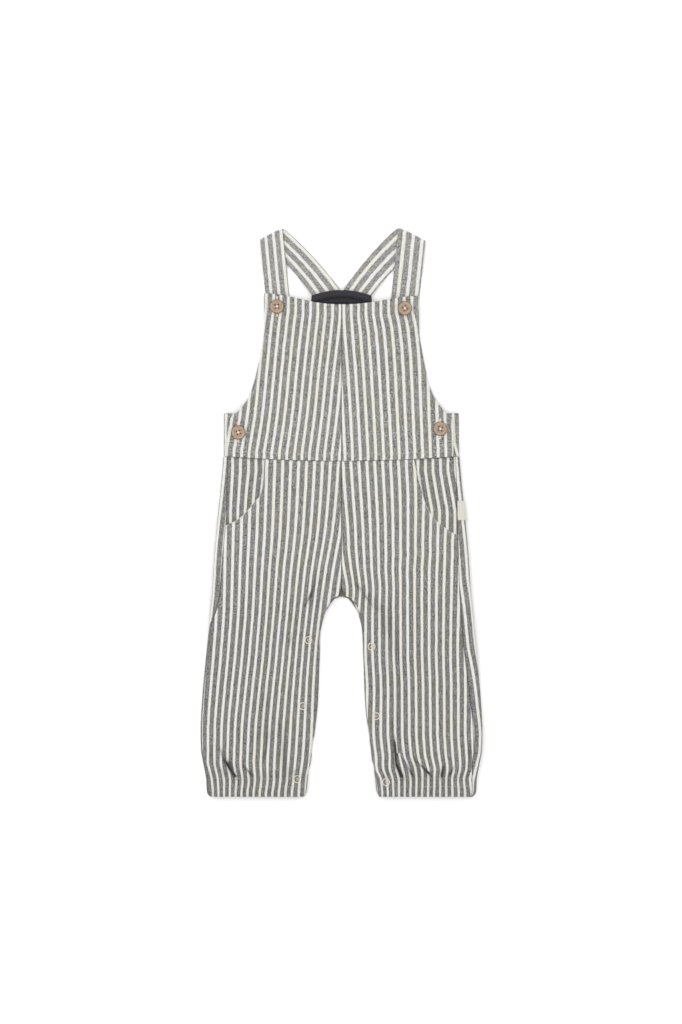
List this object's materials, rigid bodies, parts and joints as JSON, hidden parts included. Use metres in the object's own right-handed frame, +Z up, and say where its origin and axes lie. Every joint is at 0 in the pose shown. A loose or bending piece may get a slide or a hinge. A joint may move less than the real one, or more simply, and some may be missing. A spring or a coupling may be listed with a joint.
{
  "type": "kids bib overalls",
  "caption": "Baby bib overalls of striped twill, laid flat on their back with crossed shoulder straps folded over and buttoned to the bib, side openings, slant pockets and gathered hems.",
  "frame": {"origin": "middle of the underside of the box round the garment as it lies", "axes": "+Z up from the surface, +Y from the hems to the strap folds, +X towards the wearer's left"},
  "size_m": [0.2817, 0.5693, 0.0084],
  "materials": {
    "striped_cloth": "matte cotton twill with off-white and mottled grey stripes",
    "facing_cloth": "matte dark cotton jersey",
    "trim_cloth": "matte olive cotton",
    "button": "satin turned disc with four holes",
    "snap": "pale semi-gloss ring",
    "label_tape": "plain woven cream tape"
  },
  "bodies": {
    "root": {"back_bib": "striped_cloth", "neck_facing": "facing_cloth", "crotch_facing": "trim_cloth", "side_label": "label_tape", "front_bib_right": "striped_cloth", "front_leg_right": "striped_cloth", "back_leg_right": "striped_cloth", "pocket_backing_right": "striped_cloth", "underlap_right": "striped_cloth", "strap_right": "striped_cloth", "strap_button_right": "button", "side_button_right": "button", "snap_right_1": "snap", "snap_right_2": "snap", "snap_right_3": "snap", "front_bib_left": "striped_cloth", "front_leg_left": "striped_cloth", "back_leg_left": "striped_cloth", "pocket_backing_left": "striped_cloth", "underlap_left": "striped_cloth", "strap_left": "striped_cloth", "strap_button_left": "button", "side_button_left": "button", "snap_left_1": "snap", "snap_left_2": "snap", "snap_left_3": "snap"}
  },
  "joints": []
}
